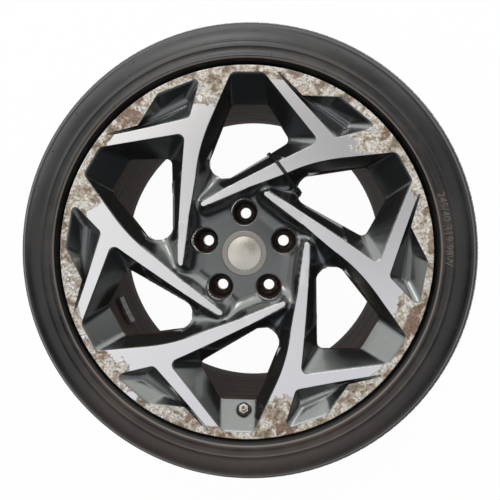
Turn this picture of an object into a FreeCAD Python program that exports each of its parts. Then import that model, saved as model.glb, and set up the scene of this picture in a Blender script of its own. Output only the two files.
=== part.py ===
"""Nineteen inch alloy road wheel with its worn tyre, centre cap, clamp-in valve,
pressure sensor, stick-on balance weights and a cable tie left on one spoke.

Frame: origin at the centre of the hub mounting face, +Z along the wheel axis
towards the outer face, so the wheel lies on its inner side wall.  Millimetres.
"""
import FreeCAD, Part
import math
import os
import re
import Sketcher
from FreeCAD import Vector

doc = FreeCAD.newDocument("AlloyWheel")
dims = doc.addObject("Spreadsheet::Sheet", "Dims")

# Driving dimensions, in millimetres and degrees
SIZES = {
    # Rim section
    "rim_width": 215.9,
    "wheel_inset": 45.0,
    "bead_seat_r": 241.3,
    "bead_seat_width": 19.8,
    "bead_seat_deg": 5.0,
    "flange_height": 17.5,
    "outer_flange": 13.05,
    "inner_flange": 7.0,
    "flange_round": 1.6,
    "flange_root": 6.0,
    "flange_bevel": 3.0,
    "hump_height": 1.0,
    "hump_width": 6.0,
    "well_depth": 17.8,
    "well_wall": 6.0,
    "well_front": 15.0,
    "well_width": 48.0,
    "barrel_wall": 4.6,
    # Disc, hub and bores
    "face_r": 258.8,
    "face_deg": 3.5,
    "lip_width": 8.0,
    "hub_floor": 42.0,
    "spoke_back": 39.0,
    "spoke_root_r": 132.0,
    "pad_r": 78.0,
    "hub_bore_r": 33.55,
    "hub_bore_depth": 12.0,
    "cap_bore_r": 29.0,
    "cap_bore_band": 10.0,
    "cap_undercut": 1.2,
    "cap_seat_depth": 2.5,
    # Bolt holes
    "bolt_count": 5,
    "bolt_pcd": 120.0,
    "bolt_hole_r": 8.0,
    "seat_r": 13.0,
    "seat_height": 7.0,
    "pocket_r": 16.0,
    "pocket_mouth_r": 19.0,
    "pad_thick": 16.0,
    # Spokes
    "spoke_count": 6,
    "blade_deg": 22.6,
    "blade_offset": 83.6,
    "blade_draft_deg": 4.0,
    "dish_depth": 17.0,
    "trough_depth": 3.0,
    "ledge_drop": 11.0,
    "tip_along": 18.0,
    "tip_run": 8.5,
    "tip_rise": 10.0,
    "tip_round": 5.0,
    "hollow_depth": 12.0,
    "lighten_depth": 18.0,
    # Tyre
    "tyre_r": 334.5,
    "tyre_width": 245.0,
    "tread_width": 170.0,
    "crown_drop": 5.0,
    "tread_wall": 13.0,
    "side_wall": 9.0,
    "groove_width": 9.0,
    "groove_depth": 4.0,
    "groove_pitch": 37.0,
    "bead_thick": 12.0,
    "bead_slope": 6.0,
    "fit_gap": 0.3,
    # Centre cap
    "cap_r": 32.9,
    "cap_edge": 3.0,
    "cap_wall": 2.0,
    "cap_skirt": 16.0,
    "cap_slots": 6,
    "cap_slot_width": 4.0,
    "dome_r": 24.4,
    "dome_rise": 1.9,
    "dome_sink": 1.4,
    "dome_round": 100.0,
    "ring_wire": 1.8,
    # Valve
    "valve_deg": 30.0,
    "valve_drop": 24.6,
    "valve_sink": 2.5,
    "valve_hole_r": 5.65,
    "valve_wall": 5.0,
    "valve_bore_r": 8.0,
    "grommet_r": 9.8,
    "grommet_thick": 3.5,
    "nut_flats": 12.0,
    "nut_thick": 5.5,
    "stem_r": 3.9,
    "stem_reach": 6.0,
    "stem_head_r": 7.2,
    "stem_head": 4.0,
    "stem_tail": 22.0,
    "air_r": 1.8,
    "core_sink": 1.0,
    "core_r": 2.5,
    "core_length": 9.0,
    "pin_r": 0.65,
    "pin_gap": 0.04,
    "pin_travel": 1.5,
    "plunger_r": 1.3,
    # Pressure sensor
    "sensor_length": 42.0,
    "sensor_height": 17.0,
    "sensor_depth": 14.0,
    "sensor_round": 4.0,
    "screw_r": 1.95,
    "screw_head_r": 3.4,
    "screw_head": 2.0,
    "screw_grip": 6.5,
    # Balance weights
    "weight_deg": 205.7,
    "weight_z": -11.0,
    "weight_count": 4,
    "weight_length": 10.4,
    "weight_width": 19.0,
    "weight_thick": 3.6,
    "weight_pitch": 11.2,
    "tape_thick": 0.8,
    "glue_gap": 0.1,
    # Cable tie
    "tie_width": 4.8,
    "tie_thick": 1.4,
    "tie_head": 8.0,
    "tie_x": 33.0,
    "tie_y": 146.0,
    "tie_deg": -53.1,
}

# Inside of the cable tie's loop: distance along its own plane, the level it is
# measured from and the height above that level
TIE_LOOP = {
    "back_a": (3.0, "spoke_back", -4.5),
    "edge_a": (3.4, "hub_floor", -0.5),
    "face_a": (23.0, "lip_z", -6.2),
    "face_b": (42.2, "lip_z", -6.5),
    "edge_b": (77.5, "hub_floor", 3.0),
    "back_b": (78.0, "spoke_back", -21.5),
}

# Side wall of the tyre from its rim-protector rib to the tread: share of the height
# above the flange, and the distance in from the full width
SIDE_WALL = {
    "rib_foot": (0.112, 1.6),
    "rib_low": (0.13, 0.4),
    "rib_top": (0.177, 0.0),
    "hollow": (0.2325, 2.1),
    "bulge_low": (0.386, 0.8),
    "bulge": (0.491, 0.5),
    "bulge_top": (0.597, 2.1),
    "shoulder_low": (0.696, 5.7),
    "shoulder": (0.789, 12.3),
    "shoulder_top": (0.859, 21.3),
}

# Outlines of one sixth of the face: corner radius from the axis, bearing, rounding
WINDOW_MOUTH = {
    "lip_b": ("mouth_lip_r", 93.5, 9.0),
    "lip_a": ("mouth_lip_r", 83.5, 10.0),
    "arm": (189.1, 53.8, 9.0),
    "tip": (92.3, 129.7, 5.0),
    "hub": (73.8, 133.3, 3.0),
    "heel": (92.2, 149.4, 3.0),
    "bow": (159.9, 115.1, 300.0),
}
WINDOW_FLOOR = {
    "lip_b": (215.5, 95.0, 12.0),
    "lip_a": (217.0, 80.8, 10.0),
    "arm": (174.1, 67.4, 9.0),
    "tip": (102.5, 131.2, 5.0),
    "hub": (80.0, 137.0, 3.0),
    "heel": (89.0, 148.2, 3.0),
    "bow": (163.0, 105.6, 60.0),
}
WINDOW_HOLE = {
    "lip_b": (214.0, 94.7, 12.0),
    "lip_a": (215.5, 81.1, 10.0),
    "arm": (173.0, 67.7, 9.0),
    "tip": (107.5, 105.6, 17.0),
    "heel": (131.5, 112.1, 25.0),
    "bow": (158.0, 105.2, 57.0),
}
WINDOW_LEDGE = {
    "lip_b": (215.0, 94.9, 12.0),
    "lip_a": (216.5, 80.9, 10.0),
    "arm": (173.8, 67.5, 9.0),
    "tip": (104.0, 115.7, 14.0),
    "heel": (130.1, 117.3, 22.0),
    "bow": (160.0, 105.4, 57.0),
}
POCKET_MOUTH = {
    "blade": (251.0, 103.0, 6.0),
    "heel": (196.8, 111.5, 9.0),
    "slit_in": (251.7, 139.4, None),
    "slit_out": (253.7, 138.8, None),
    "elbow": (230.7, 129.6, 3.0),
    "lip": (251.8, 117.9, 7.0),
}
POCKET_FLOOR = {
    "blade": (234.7, 109.7, 5.0),
    "heel": (222.5, 110.8, 5.0),
    "slit_in": (234.9, 131.5, None),
    "slit_out": (236.3, 131.1, None),
    "elbow": (233.2, 126.9, 3.0),
    "lip": (233.0, 120.4, 5.0),
}
POCKET_TROUGH = {
    "heel": (222.5, 110.8, None),
    "ridge": (227.3, 110.4, None),
    "slit_out": (235.9, 130.6, None),
    "slit_in": (234.9, 131.3, None),
}
SPOKE_HOLLOW = {
    "front": (200.0, 106.0, 8.0),
    "back": (204.0, 124.5, 8.0),
    "root": (160.0, 114.5, 8.0),
}
PAD_HOLLOW = {
    "out_a": (71.0, 113.0, 5.0),
    "out_b": (71.0, 139.0, 5.0),
    "in_b": (47.0, 133.0, 4.0),
    "in_a": (47.0, 119.0, 4.0),
}
OUTLINES = {"mouth": WINDOW_MOUTH, "floor": WINDOW_FLOOR, "hole": WINDOW_HOLE,
            "ledge": WINDOW_LEDGE, "dish": POCKET_MOUTH, "bed": POCKET_FLOOR, "trough": POCKET_TROUGH,
            "hollow": SPOKE_HOLLOW, "lighten": PAD_HOLLOW}

# Values worked out from the driving dimensions
DERIVED = {
    "flange_r": "(bead_seat_r + flange_height)",
    "face_share": "((bead_seat_r + flange_height) / face_r)",
    "wall_height": "(tyre_r - bead_seat_r - flange_height)",
    "bead_out": "(rim_width / 2 - wheel_inset)",
    "bead_in": "(-rim_width / 2 - wheel_inset)",
    "lip_z": "(rim_width / 2 - wheel_inset + outer_flange)",
    "mouth_lip_r": "(bead_seat_r + flange_height - lip_width)",
    "toe_r": "(bead_seat_r - bead_seat_width * tan(bead_seat_deg))",
    "well_r": "(bead_seat_r - well_depth)",
    "well_in_r": "(bead_seat_r - well_depth - well_wall)",
    "barrel_r": "(bead_seat_r - bead_seat_width * tan(bead_seat_deg) - barrel_wall)",
    "cap_seat": "(hub_floor - cap_seat_depth)",
    "cap_hole_r": "(cap_r + fit_gap)",
    "well_top": "(rim_width / 2 - wheel_inset - bead_seat_width - hump_width)",
    "well_z": "(rim_width / 2 - wheel_inset - bead_seat_width - hump_width - well_front)",
    "skirt_r": "(cap_bore_r - fit_gap)",
    "stem_top": "(grommet_thick + nut_thick + stem_reach)",
    "core_foot": "(grommet_thick + nut_thick + stem_reach - core_sink - core_length)",
    "core_top": "(grommet_thick + nut_thick + stem_reach - core_sink)",
    "tape_in_r": "(bead_seat_r - well_depth - well_wall - glue_gap - tape_thick)",
    "wall_lean": "((bead_seat_r + flange_height - lip_width - floor_lip_b_r * face_share)"
                 " / (rim_width / 2 - wheel_inset + outer_flange - hub_floor))",
    "valve_r": "(bead_seat_r + flange_height - lip_width - valve_drop * wall_lean"
               " + valve_sink * sin(valve_deg))",
    "valve_z": "(rim_width / 2 - wheel_inset + outer_flange - valve_drop - valve_sink * cos(valve_deg))",
}


def sheet_terms(text):
    """An expression in plain names, with each name pointed at its cell"""
    for name, formula in reversed(DERIVED.items()):
        text = re.sub(rf"\b{name}\b", formula, text)
    return re.sub(r"\b(?!pi\b)([a-z]\w*)\b(?!\s*\()", r"Dims.\1", text)


def value(text):
    """The number that an expression has now"""
    result = dims.evalExpression(sheet_terms(text))
    return float(getattr(result, "Value", result))


def fill_sheet():
    cells = dict(SIZES)
    for outline, corners in OUTLINES.items():
        for corner, (radius, bearing, rounding) in corners.items():
            if not isinstance(radius, str):
                cells[f"{outline}_{corner}_r"] = radius
            cells[f"{outline}_{corner}_deg"] = bearing
            if rounding:
                cells[f"{outline}_{corner}_round"] = rounding
    for corner, (along, _, height) in TIE_LOOP.items():
        cells[f"tie_{corner}_u"] = along
        cells[f"tie_{corner}_z"] = height
    for corner, (share, inset) in SIDE_WALL.items():
        cells[f"side_{corner}_share"] = share
        cells[f"side_{corner}_in"] = inset
    for row, (alias, number) in enumerate(cells.items(), start=1):
        dims.set(f"A{row}", alias)
        dims.set(f"B{row}", str(number))
        dims.setAlias(f"B{row}", alias)
    doc.recompute()


def new_body(label):
    body = doc.addObject("PartDesign::Body", label)
    body.Label = label
    return body


def origin_feature(body, role):
    return next(item for item in body.Origin.OriginFeatures if item.Role == role)


def new_sketch(body, name, role, lift=None):
    """A sketch on one of the body's own planes, raised by an expression"""
    sketch = body.newObject("Sketcher::SketchObject", name)
    sketch.AttachmentSupport = (origin_feature(body, role), [""])
    sketch.MapMode = "FlatFace"
    if lift:
        sketch.setExpression("AttachmentOffset.Base.z", sheet_terms(lift))
    return sketch


def pin_point(sketch, geometry, vertex, across, along, tag):
    """Tie a point of a sketch to two expressions"""
    for kind, text, axis in (("DistanceX", across, "x"), ("DistanceY", along, "y")):
        index = sketch.addConstraint(Sketcher.Constraint(kind, -1, 1, geometry, vertex, value(text)))
        sketch.renameConstraint(index, f"{tag}{axis}")
        sketch.setExpression(f"Constraints.{tag}{axis}", sheet_terms(text))


def add_outline(sketch, corners, tag="p"):
    """Closed outline of straight sides; a corner is (across, along) or (across, along, rounding)"""
    count = len(corners)
    spots = [Vector(value(corner[0]), value(corner[1]), 0) for corner in corners]
    entry, leave, arcs = [], [], []
    for i, corner in enumerate(corners):
        if len(corner) < 3:
            entry.append(spots[i])
            leave.append(spots[i])
            arcs.append(None)
            continue
        radius = value(corner[2])
        back = (spots[i - 1] - spots[i]).normalize()
        ahead = (spots[(i + 1) % count] - spots[i]).normalize()
        half = math.acos(max(-1.0, min(1.0, back.dot(ahead)))) / 2
        reach = radius / math.tan(half)
        entry.append(spots[i] + back * reach)
        leave.append(spots[i] + ahead * reach)
        centre = spots[i] + (back + ahead).normalize() * (radius / math.sin(half))
        left_turn = back.cross(ahead).z < 0
        arcs.append((centre, radius, left_turn))
    lines = []
    for i in range(count):
        lines.append(sketch.addGeometry(Part.LineSegment(leave[i], entry[(i + 1) % count]), False))
    for i, corner in enumerate(corners):
        before, after = lines[i - 1], lines[i]
        if arcs[i] is None:
            sketch.addConstraint(Sketcher.Constraint("Coincident", before, 2, after, 1))
            pin_point(sketch, after, 1, corner[0], corner[1], f"{tag}{i}")
            continue
        centre, radius, left_turn = arcs[i]
        first, last = (entry[i], leave[i]) if left_turn else (leave[i], entry[i])
        angles = [math.atan2(p.y - centre.y, p.x - centre.x) for p in (first, last)]
        circle = Part.Circle(centre, Vector(0, 0, 1), radius)
        arc = sketch.addGeometry(Part.ArcOfCircle(circle, angles[0], angles[1]), False)
        vertex = sketch.addGeometry(Part.Point(spots[i]), True)
        in_end, out_end = (1, 2) if left_turn else (2, 1)
        sketch.addConstraint(Sketcher.Constraint("Tangent", before, 2, arc, in_end))
        sketch.addConstraint(Sketcher.Constraint("Tangent", after, 1, arc, out_end))
        sketch.addConstraint(Sketcher.Constraint("PointOnObject", vertex, 1, before))
        sketch.addConstraint(Sketcher.Constraint("PointOnObject", vertex, 1, after))
        pin_point(sketch, vertex, 1, corner[0], corner[1], f"{tag}{i}")
        index = sketch.addConstraint(Sketcher.Constraint("Radius", arc, radius))
        sketch.renameConstraint(index, f"{tag}{i}r")
        sketch.setExpression(f"Constraints.{tag}{i}r", sheet_terms(corner[2]))


def polar_corners(outline, share="face_share"):
    """Corners of one of the face outlines, from its radii and bearings"""
    corners = []
    for corner, (radius, _, rounding) in OUTLINES[outline].items():
        reach = radius if isinstance(radius, str) else f"{outline}_{corner}_r * {share}"
        bearing = f"{outline}_{corner}_deg"
        spot = (f"{reach} * cos({bearing})", f"{reach} * sin({bearing})")
        corners.append(spot + (f"{outline}_{corner}_round",) if rounding else spot)
    return corners


def revolve(body, name, corners, role="XZ_Plane"):
    """Turned solid about the body's Z axis from a closed section of (radius, height) corners"""
    sketch = new_sketch(body, f"{name}_section", role)
    add_outline(sketch, corners)
    feature = body.newObject("PartDesign::Revolution", name)
    feature.Profile = sketch
    feature.ReferenceAxis = (sketch, ["V_Axis"])
    feature.Angle = 360
    return feature


def groove(body, name, corners, axis_foot, axis_top, role="YZ_Plane"):
    """Turned cut about an axis drawn in the section's own plane"""
    sketch = new_sketch(body, f"{name}_section", role)
    ends = [Vector(value(x), value(y), 0) for x, y in (axis_foot, axis_top)]
    line = sketch.addGeometry(Part.LineSegment(*ends), True)
    pin_point(sketch, line, 1, *axis_foot, "foot")
    pin_point(sketch, line, 2, *axis_top, "top")
    add_outline(sketch, corners)
    feature = body.newObject("PartDesign::Groove", name)
    feature.Profile = sketch
    feature.ReferenceAxis = (sketch, ["Axis0"])
    feature.Angle = 360
    return feature


def pocket(body, name, sketch, depth, upward=False, taper=None):
    feature = body.newObject("PartDesign::Pocket", name)
    feature.Profile = sketch
    feature.Type = 0
    feature.setExpression("Length", sheet_terms(depth))
    feature.Reversed = upward
    if taper:
        feature.setExpression("TaperAngle", sheet_terms(taper))
    return feature


def pad(body, name, sketch, length, midplane=False):
    feature = body.newObject("PartDesign::Pad", name)
    feature.Profile = sketch
    feature.Type = 0
    feature.setExpression("Length", sheet_terms(length))
    feature.Midplane = midplane
    return feature


def loft_cut(body, name, sections):
    feature = body.newObject("PartDesign::SubtractiveLoft", name)
    feature.Profile = sections[0]
    feature.Sections = sections[1:]
    feature.Ruled = True
    return feature


def ring_of(body, name, features, count):
    """Repeat features evenly about the Z axis"""
    pattern = body.newObject("PartDesign::PolarPattern", name)
    pattern.Originals = features
    pattern.Axis = (origin_feature(body, "Z_Axis"), [""])
    pattern.Angle = 360
    pattern.setExpression("Occurrences", sheet_terms(count))
    body.Tip = pattern
    return pattern


def valve_spot(across, along):
    """Place in the valve's plane: distance from its axis and height above its seat"""
    side = f"-valve_r - ({across}) * cos(valve_deg) + ({along}) * sin(valve_deg)"
    height = f"valve_z + ({across}) * sin(valve_deg) + ({along}) * cos(valve_deg)"
    return side, height


def hub_corners():
    """Field between the blades: one straight side along each blade, bent outwards round its tip"""
    offset = "blade_offset * face_share"
    corners = []
    for k in range(int(value("spoke_count"))):
        normal = f"(blade_deg + 90 + {k} * 360 / spoke_count)"
        for along, out, rounding in (
                (f"-{offset} * tan(180 / spoke_count)", offset, None),
                ("tip_along", offset, "tip_round"),
                ("tip_along + tip_run", f"{offset} + tip_rise", None)):
            spot = (f"({out}) * cos({normal}) - ({along}) * sin({normal})",
                    f"({out}) * sin({normal}) + ({along}) * cos({normal})")
            corners.append(spot + (rounding,) if rounding else spot)
    return corners


def make_rim():
    """One aluminium casting: barrel, flanges, six swept spokes and the hub"""
    body = new_body("alloy_rim")
    face_at_cap = "lip_z - (flange_r - cap_hole_r) * tan(face_deg)"
    revolve(body, "rim_blank", [
        ("hub_bore_r", "0"),
        ("hub_bore_r", "hub_bore_depth"),
        ("cap_bore_r + cap_undercut", "hub_bore_depth"),
        ("cap_bore_r + cap_undercut", "cap_seat - cap_bore_band"),
        ("cap_bore_r", "cap_seat - cap_bore_band"),
        ("cap_bore_r", "cap_seat"),
        ("cap_hole_r", "cap_seat"),
        ("cap_hole_r", face_at_cap),
        ("flange_r", "lip_z", "flange_round"),
        ("flange_r", "bead_out + flange_bevel"),
        ("flange_r - flange_bevel", "bead_out"),
        ("bead_seat_r + flange_root / 2", "bead_out"),
        ("bead_seat_r", "bead_out - flange_root / 2"),
        ("toe_r", "bead_out - bead_seat_width"),
        ("toe_r + hump_height", "bead_out - bead_seat_width - hump_width / 2"),
        ("toe_r", "well_top"),
        ("well_r", "well_z"),
        ("well_r", "well_z - well_width"),
        ("toe_r", "well_z - well_width - 2 * well_depth"),
        ("toe_r", "bead_in + bead_seat_width + hump_width"),
        ("toe_r + hump_height", "bead_in + bead_seat_width + hump_width / 2"),
        ("toe_r", "bead_in + bead_seat_width"),
        ("bead_seat_r", "bead_in + flange_root / 2"),
        ("bead_seat_r + flange_root / 2", "bead_in"),
        ("flange_r - flange_bevel", "bead_in"),
        ("flange_r", "bead_in - flange_bevel"),
        ("flange_r", "bead_in - inner_flange", "flange_round"),
        ("bead_seat_r - barrel_wall", "bead_in - inner_flange"),
        ("barrel_r", "bead_in + bead_seat_width"),
        ("barrel_r", "well_z - well_width - 2 * well_depth - well_wall"),
        ("well_in_r", "well_z - well_width - well_wall", "well_wall"),
        ("well_in_r", "spoke_back"),
        ("spoke_root_r", "spoke_back"),
        ("pad_r + well_wall", "well_wall"),
        ("pad_r", "0"),
    ])
    hub = new_sketch(body, "hub_field_outline", "XY_Plane", "lip_z")
    add_outline(hub, hub_corners())
    pocket(body, "hub_field", hub, "lip_z - hub_floor", taper="-blade_draft_deg")

    mouth = new_sketch(body, "window_mouth", "XY_Plane", "lip_z")
    add_outline(mouth, polar_corners("mouth"))
    floor = new_sketch(body, "window_floor", "XY_Plane", "hub_floor")
    add_outline(floor, polar_corners("floor"))
    window = loft_cut(body, "window", [mouth, floor])
    ledge = new_sketch(body, "window_ledge", "XY_Plane", "hub_floor")
    add_outline(ledge, polar_corners("ledge"))
    throat = new_sketch(body, "window_throat", "XY_Plane", "hub_floor - ledge_drop")
    add_outline(throat, polar_corners("hole"))
    fall = loft_cut(body, "window_fall", [ledge, throat])
    hole = new_sketch(body, "window_hole_outline", "XY_Plane", "hub_floor - ledge_drop")
    add_outline(hole, polar_corners("hole"))
    through = pocket(body, "window_hole", hole, "hub_floor - ledge_drop")
    dish = new_sketch(body, "pocket_mouth", "XY_Plane", "lip_z")
    add_outline(dish, polar_corners("dish"))
    bed = new_sketch(body, "pocket_bed", "XY_Plane", "lip_z - dish_depth")
    add_outline(bed, polar_corners("bed"))
    scoop = loft_cut(body, "arm_pocket", [dish, bed])
    trench = new_sketch(body, "trough_outline", "XY_Plane", "lip_z - dish_depth")
    add_outline(trench, polar_corners("trough"))
    trough = pocket(body, "arm_trough", trench, "trough_depth")
    hollow = new_sketch(body, "spoke_hollow_outline", "XY_Plane", "spoke_back")
    add_outline(hollow, polar_corners("hollow"))
    rear = pocket(body, "spoke_hollow", hollow, "hollow_depth", upward=True)
    ring_of(body, "spoke_ring", [window, fall, through, scoop, trough, rear], "spoke_count")

    centre = "bolt_pcd / 2"
    bolt = groove(body, "bolt_hole", [
        (centre, "-well_wall"),
        (f"{centre} + bolt_hole_r", "-well_wall"),
        (f"{centre} + bolt_hole_r", "pad_thick - seat_height"),
        (f"{centre} + seat_r", "pad_thick"),
        (f"{centre} + pocket_r", "pad_thick"),
        (f"{centre} + pocket_mouth_r", "hub_floor"),
        (f"{centre} + pocket_mouth_r", "hub_floor + well_wall"),
        (centre, "hub_floor + well_wall"),
    ], (centre, "0"), (centre, "hub_floor"))
    lighten = new_sketch(body, "pad_hollow_outline", "XY_Plane")
    add_outline(lighten, polar_corners("lighten", "1"))
    light = pocket(body, "pad_hollow", lighten, "lighten_depth", upward=True)
    ring_of(body, "bolt_ring", [bolt, light], "bolt_count")

    groove(body, "valve_hole", [
        valve_spot("0", "-2 * well_depth"),
        valve_spot("valve_bore_r", "-2 * well_depth"),
        valve_spot("valve_bore_r", "-valve_wall"),
        valve_spot("valve_hole_r", "-valve_wall"),
        valve_spot("valve_hole_r", "0"),
        valve_spot("grommet_r + fit_gap", "0"),
        valve_spot("grommet_r + fit_gap", "well_depth"),
        valve_spot("0", "well_depth"),
    ], valve_spot("0", "0"), valve_spot("0", "well_depth"))
    return body


def side_r(name):
    """Radius of one corner of the tyre's side wall"""
    return f"flange_r + side_{name}_share * wall_height"


def make_tyre():
    """Worn road tyre, one moulded ring with a rim-protector rib and four tread grooves"""
    half_rim = "rim_width / 2"
    half = "tyre_width / 2"
    crown = "tyre_r - crown_drop * ({0}) * ({0}) / (tread_width * tread_width / 4)"
    outer = [
        ("toe_r + fit_gap", f"{half_rim} - bead_seat_width + fit_gap"),
        ("bead_seat_r + fit_gap", f"{half_rim} - flange_root"),
        ("bead_seat_r + flange_root", half_rim),
        ("flange_r - flange_bevel + fit_gap", half_rim),
        ("flange_r + flange_bevel", f"{half_rim} + flange_bevel"),
        ("flange_r + flange_bevel", f"{half_rim} + 2 * flange_bevel"),
    ]
    outer += [(side_r(name), f"{half} - side_{name}_in") for name in SIDE_WALL]
    outer += [
        ("tyre_r - crown_drop", "tread_width / 2"),
    ]
    for place in ("1.5 * groove_pitch", "0.5 * groove_pitch"):
        level = crown.format(place)
        outer += [
            (level, f"{place} + groove_width / 2"),
            (f"{level} - groove_depth", f"{place} + groove_width / 4"),
            (f"{level} - groove_depth", f"{place} - groove_width / 4"),
            (level, f"{place} - groove_width / 2"),
        ]
    inner = [
        ("toe_r + bead_thick", f"{half_rim} - bead_seat_width + bead_slope"),
        ("flange_r + flange_bevel", f"{half_rim} - bead_thick"),
        (side_r("rib_top"), f"{half} - side_wall - bead_slope"),
        (side_r("bulge"), f"{half} - side_wall - side_bulge_in"),
        ("tyre_r - tread_wall - crown_drop", "tread_width / 2 + crown_drop"),
    ]

    def lifted(corner, sign):
        return (corner[0], f"{sign} * ({corner[1]}) - wheel_inset") + tuple(corner[2:])

    section = [lifted(corner, 1) for corner in outer]
    section += [lifted(corner, -1) for corner in reversed(outer)]
    section += [lifted(corner, -1) for corner in inner]
    section += [lifted(corner, 1) for corner in reversed(inner)]
    body = new_body("tyre")
    revolve(body, "tyre_ring", section)
    return body


def make_centre_cap():
    """Moulded cap with a slotted skirt that snaps into the hub bore"""
    body = new_body("centre_cap")
    revolve(body, "cap_turned", [
        ("0", "cap_seat"),
        ("skirt_r - cap_wall", "cap_seat"),
        ("skirt_r - cap_wall", "cap_seat - cap_skirt"),
        ("skirt_r", "cap_seat - cap_skirt"),
        ("cap_bore_r + cap_undercut - fit_gap", "cap_seat - cap_bore_band - cap_wall"),
        ("skirt_r", "cap_seat - cap_bore_band - fit_gap"),
        ("skirt_r", "cap_seat"),
        ("cap_r", "cap_seat"),
        ("cap_r", "cap_seat + cap_edge", "cap_edge / 3"),
        ("dome_r + fit_gap", "cap_seat + cap_edge"),
        ("dome_r + fit_gap", "cap_seat + dome_sink"),
        ("0", "cap_seat + dome_sink"),
    ])
    slot = new_sketch(body, "slot_outline", "XY_Plane", "cap_seat - cap_skirt")
    near, far = "skirt_r - 2 * cap_wall", "cap_bore_r + 2 * cap_wall"
    side = "cap_slot_width / 2"
    add_outline(slot, [(near, f"-{side}"), (far, f"-{side}"), (far, side), (near, side)])
    cut = pocket(body, "skirt_slot", slot, "cap_skirt - cap_wall", upward=True)
    ring_of(body, "slot_ring", [cut], "cap_slots")
    return body


def make_cap_dome():
    """Plain plated disc set into the cap's recess"""
    body = new_body("cap_dome")
    rim = "cap_seat + cap_edge"
    revolve(body, "dome_turned", [
        ("0", "cap_seat + dome_sink"),
        ("dome_r", "cap_seat + dome_sink"),
        ("dome_r", rim),
        ("dome_r / 2", f"{rim} + dome_rise", "dome_round"),
        ("0", f"{rim} + dome_rise"),
    ])
    return body


def make_spring_ring():
    """Wire ring that spreads the cap's fingers"""
    body = new_body("cap_spring_ring")
    middle = "skirt_r - cap_wall - ring_wire / 2 - glue_gap"
    level = "cap_seat - cap_skirt + 2 * cap_wall"
    wire = "ring_wire / 2 / cos(22.5)"
    bearings = [22.5 + 45 * k for k in range(8)]
    revolve(body, "ring_turned", [(f"{middle} + {wire} * cos({b})", f"{level} + {wire} * sin({b})")
                                  for b in bearings])
    return body


def on_valve_axis(body):
    """Stand a body on the valve seat, leaning towards the wheel axis"""
    body.Placement = FreeCAD.Placement(Vector(), FreeCAD.Rotation(Vector(-1, 0, 0), value("valve_deg")))
    body.setExpression("Placement.Rotation.Angle", sheet_terms("valve_deg"))
    body.setExpression("Placement.Base.y", sheet_terms("-valve_r"))
    body.setExpression("Placement.Base.z", sheet_terms("valve_z"))
    return body


def turned_on_valve(label, corners):
    body = new_body(label)
    revolve(body, f"{label}_turned", corners)
    return on_valve_axis(body)


def make_valve():
    """Clamp-in valve: rubber seal, hexagon nut, stem, core and its pin"""
    clear = "stem_r + glue_gap"
    seal = turned_on_valve("valve_grommet", [
        (clear, "-valve_wall"),
        ("valve_hole_r - glue_gap", "-valve_wall"),
        ("valve_hole_r - glue_gap", "0"),
        ("grommet_r", "0"),
        ("grommet_r", "grommet_thick", "grommet_thick / 3"),
        (clear, "grommet_thick"),
    ])
    stem = turned_on_valve("valve_stem", [
        ("screw_r + glue_gap", "-stem_tail"),
        ("stem_r", "-stem_tail"),
        ("stem_r", "-valve_wall - stem_head"),
        ("stem_head_r", "-valve_wall - stem_head"),
        ("stem_head_r", "-valve_wall"),
        ("stem_r", "-valve_wall"),
        ("stem_r", "stem_top"),
        ("core_r + glue_gap", "stem_top"),
        ("core_r + glue_gap", "core_foot"),
        ("air_r", "core_foot"),
        ("air_r", "-stem_tail + screw_grip"),
        ("screw_r + glue_gap", "-stem_tail + screw_grip"),
    ])
    core = turned_on_valve("valve_core", [
        ("pin_r + pin_gap", "core_foot"),
        ("core_r", "core_foot"),
        ("core_r", "core_top"),
        ("pin_r + pin_gap", "core_top"),
    ])
    pin = turned_on_valve("valve_pin", [
        ("0", "core_foot - plunger_r"),
        ("plunger_r", "core_foot - plunger_r"),
        ("plunger_r", "core_foot"),
        ("pin_r", "core_foot"),
        ("pin_r", "core_top + core_sink / 2"),
        ("0", "core_top + core_sink / 2"),
    ])
    nut = new_body("valve_nut")
    outline = new_sketch(nut, "nut_outline", "XY_Plane", "grommet_thick")
    reach = "nut_flats / 2 / cos(30)"
    add_outline(outline, [(f"{reach} * cos({30 + 60 * k})", f"{reach} * sin({30 + 60 * k})") for k in range(6)])
    add_circle(outline, clear)
    pad(nut, "nut_prism", outline, "nut_thick")
    return [seal, stem, core, pin, on_valve_axis(nut)]


def add_circle(sketch, radius):
    """Round hole about the sketch's own origin"""
    circle = sketch.addGeometry(Part.Circle(Vector(), Vector(0, 0, 1), value(radius)), False)
    sketch.addConstraint(Sketcher.Constraint("Coincident", circle, 3, -1, 1))
    index = sketch.addConstraint(Sketcher.Constraint("Radius", circle, value(radius)))
    sketch.renameConstraint(index, "hole")
    sketch.setExpression("Constraints.hole", sheet_terms(radius))


def make_sensor():
    """Pressure sensor on the valve's tail, and the screw that holds it"""
    body = new_body("pressure_sensor")
    outline = new_sketch(body, "sensor_outline", "XY_Plane", "-stem_tail - sensor_depth")
    long, high = "sensor_length / 2", "sensor_height / 2"
    add_outline(outline, [
        (f"-{long}", f"-{high}", "sensor_round"),
        (long, f"-{high}", "sensor_round"),
        (long, high, "sensor_round"),
        (f"-{long}", high, "sensor_round"),
    ])
    add_circle(outline, "screw_r + glue_gap")
    pad(body, "sensor_block", outline, "sensor_depth")
    screw = turned_on_valve("sensor_screw", [
        ("0", "-stem_tail - sensor_depth - screw_head"),
        ("screw_head_r", "-stem_tail - sensor_depth - screw_head"),
        ("screw_head_r", "-stem_tail - sensor_depth"),
        ("screw_r", "-stem_tail - sensor_depth"),
        ("screw_r", "-stem_tail + screw_grip - glue_gap"),
        ("0", "-stem_tail + screw_grip - glue_gap"),
    ])
    return [on_valve_axis(body), screw]


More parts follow.
